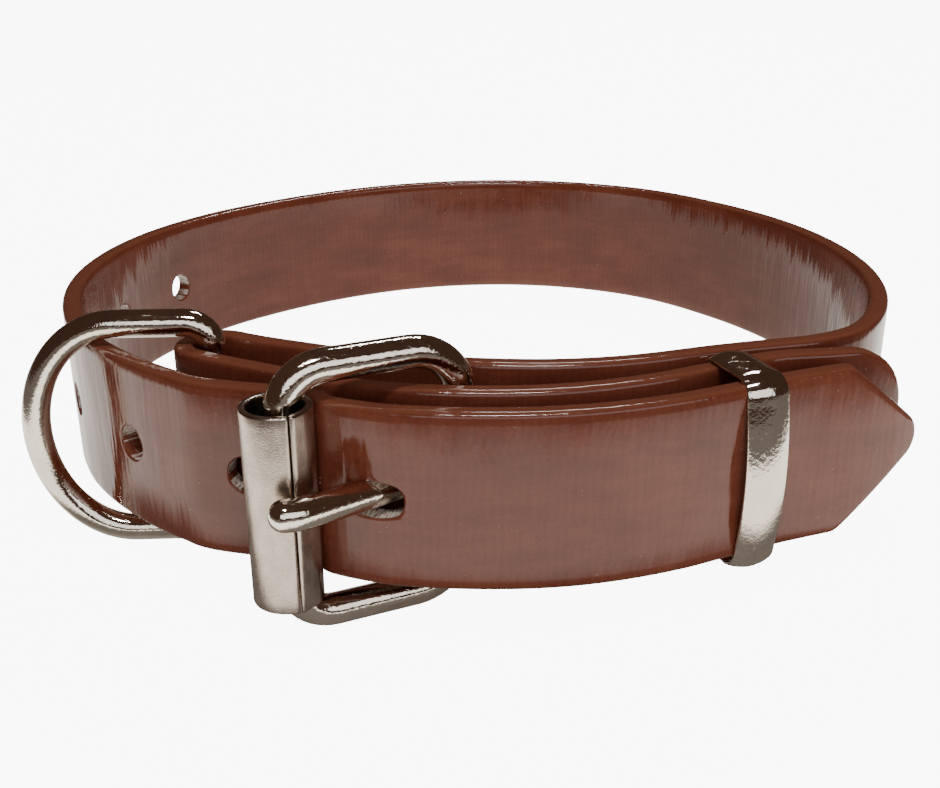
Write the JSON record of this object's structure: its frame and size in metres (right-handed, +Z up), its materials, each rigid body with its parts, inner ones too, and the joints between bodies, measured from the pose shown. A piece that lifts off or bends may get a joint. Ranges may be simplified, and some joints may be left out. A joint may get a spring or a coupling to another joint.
{
  "type": "dog collar",
  "caption": "Dog collar of coated strap with a roller buckle, pointed tail, D-ring in a fold and a metal keeper.",
  "frame": {"origin": "middle of the bounding box in plan, at the surface the collar rests on", "axes": "+X to the right when facing the buckle, +Y from the buckle towards the back of the loop, +Z up"},
  "size_m": [0.1402, 0.1498, 0.0404],
  "materials": {
    "coating": "glossy brown coating over woven tape, weave showing faintly",
    "nickel": "polished nickel plate, fine scratches",
    "roller_metal": "satin nickel plate with a seam",
    "rivet_metal": "satin"
  },
  "bodies": {
    "collar": {"strap": "coating", "buckle_frame": "nickel", "buckle_roller": "roller_metal", "buckle_prong": "nickel", "keeper": "nickel", "return_rivet": "rivet_metal"},
    "dee": {"dee_ring": "nickel"}
  },
  "joints": [
    {"name": "dee_swing", "type": "hinge", "parent": "collar", "child": "dee", "pos_m": [-0.03839, -0.04044, 0.01875], "axis": [0, 0.0592, 0.9982], "range_deg": [0, 90]}
  ]
}
